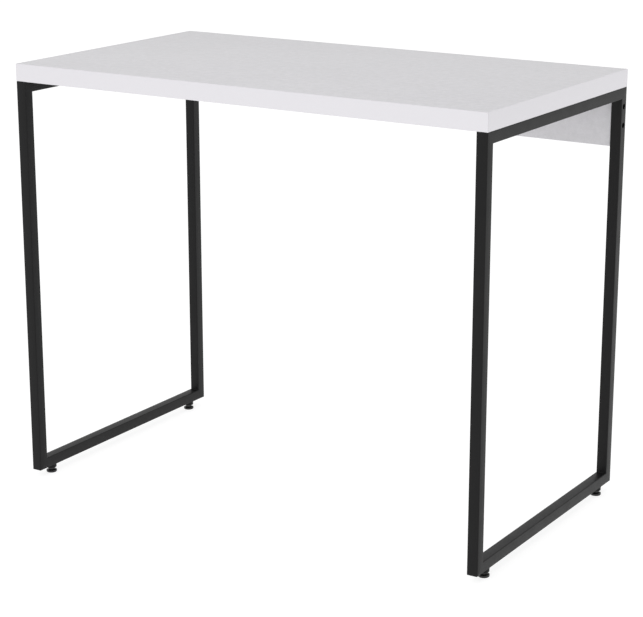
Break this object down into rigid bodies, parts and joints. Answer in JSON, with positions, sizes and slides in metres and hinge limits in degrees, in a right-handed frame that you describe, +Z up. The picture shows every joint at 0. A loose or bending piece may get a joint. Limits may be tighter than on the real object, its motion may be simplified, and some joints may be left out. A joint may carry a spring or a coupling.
{
  "type": "writing desk",
  "caption": "Writing desk with a thick white board on two closed frames of black square steel tube, a narrow rear panel and levelling glides.",
  "frame": {"origin": "on the floor under the middle of the desk, midway between the frames and midway between front and rear faces", "axes": "+X along the desk to the right as seen by its user, +Y from the front edge to the rear panel, +Z up"},
  "size_m": [0.9, 0.5, 0.745],
  "materials": {
    "white_board": "chipboard faced with satin white melamine",
    "white_edging": "satin white edge band",
    "black_powder_coat": "fine-textured black powder coat",
    "zinc_plated_steel": "bright zinc plate",
    "black_oxide_steel": "black oxide",
    "black_plastic": "moulded black plastic, glossy"
  },
  "bodies": {
    "desk": {"top_board": "white_board", "top_front_edge_band": "white_edging", "top_rear_edge_band": "white_edging", "top_left_edge_band": "white_edging", "top_right_edge_band": "white_edging", "left_top_rail": "black_powder_coat", "left_bottom_rail": "black_powder_coat", "left_front_upright": "black_powder_coat", "left_rear_upright": "black_powder_coat", "right_top_rail": "black_powder_coat", "right_bottom_rail": "black_powder_coat", "right_front_upright": "black_powder_coat", "right_rear_upright": "black_powder_coat", "rear_panel": "white_board", "rear_panel_edge_band": "white_edging", "left_top_screws": "zinc_plated_steel", "right_top_screws": "zinc_plated_steel", "left_panel_bolts": "black_oxide_steel", "right_panel_bolts": "black_oxide_steel", "left_panel_nuts": "zinc_plated_steel", "right_panel_nuts": "zinc_plated_steel", "front_left_boss": "black_powder_coat", "front_right_boss": "black_powder_coat", "rear_left_boss": "black_powder_coat", "rear_right_boss": "black_powder_coat"},
    "front_left_pad": {"front_left_pad": "black_plastic"},
    "front_left_stud": {"front_left_stud": "black_oxide_steel"},
    "front_right_pad": {"front_right_pad": "black_plastic"},
    "front_right_stud": {"front_right_stud": "black_oxide_steel"},
    "rear_left_pad": {"rear_left_pad": "black_plastic"},
    "rear_left_stud": {"rear_left_stud": "black_oxide_steel"},
    "rear_right_pad": {"rear_right_pad": "black_plastic"},
    "rear_right_stud": {"rear_right_stud": "black_oxide_steel"}
  },
  "joints": [
    {"name": "front_left_glide_height", "type": "slide", "parent": "desk", "child": "front_left_pad", "axis": [0, 0, -1], "range_m": [0, 0.01]},
    {"name": "front_left_stud_turn", "type": "hinge", "parent": "front_left_pad", "child": "front_left_stud", "pos_m": [-0.4405, -0.21, 0.009], "axis": [0, 0, -1], "range_deg": [0, 3600]},
    {"name": "front_right_glide_height", "type": "slide", "parent": "desk", "child": "front_right_pad", "axis": [0, 0, -1], "range_m": [0, 0.01]},
    {"name": "front_right_stud_turn", "type": "hinge", "parent": "front_right_pad", "child": "front_right_stud", "pos_m": [0.4405, -0.21, 0.009], "axis": [0, 0, -1], "range_deg": [0, 3600]},
    {"name": "rear_left_glide_height", "type": "slide", "parent": "desk", "child": "rear_left_pad", "axis": [0, 0, -1], "range_m": [0, 0.01]},
    {"name": "rear_left_stud_turn", "type": "hinge", "parent": "rear_left_pad", "child": "rear_left_stud", "pos_m": [-0.4405, 0.21, 0.009], "axis": [0, 0, -1], "range_deg": [0, 3600]},
    {"name": "rear_right_glide_height", "type": "slide", "parent": "desk", "child": "rear_right_pad", "axis": [0, 0, -1], "range_m": [0, 0.01]},
    {"name": "rear_right_stud_turn", "type": "hinge", "parent": "rear_right_pad", "child": "rear_right_stud", "pos_m": [0.4405, 0.21, 0.009], "axis": [0, 0, -1], "range_deg": [0, 3600]}
  ],
  "couplings": [
    {"joint": "front_left_stud_turn", "follows": "front_left_glide_height", "rad_per_m": 6283.2},
    {"joint": "front_right_stud_turn", "follows": "front_right_glide_height", "rad_per_m": 6283.2},
    {"joint": "rear_left_stud_turn", "follows": "rear_left_glide_height", "rad_per_m": 6283.2},
    {"joint": "rear_right_stud_turn", "follows": "rear_right_glide_height", "rad_per_m": 6283.2}
  ]
}
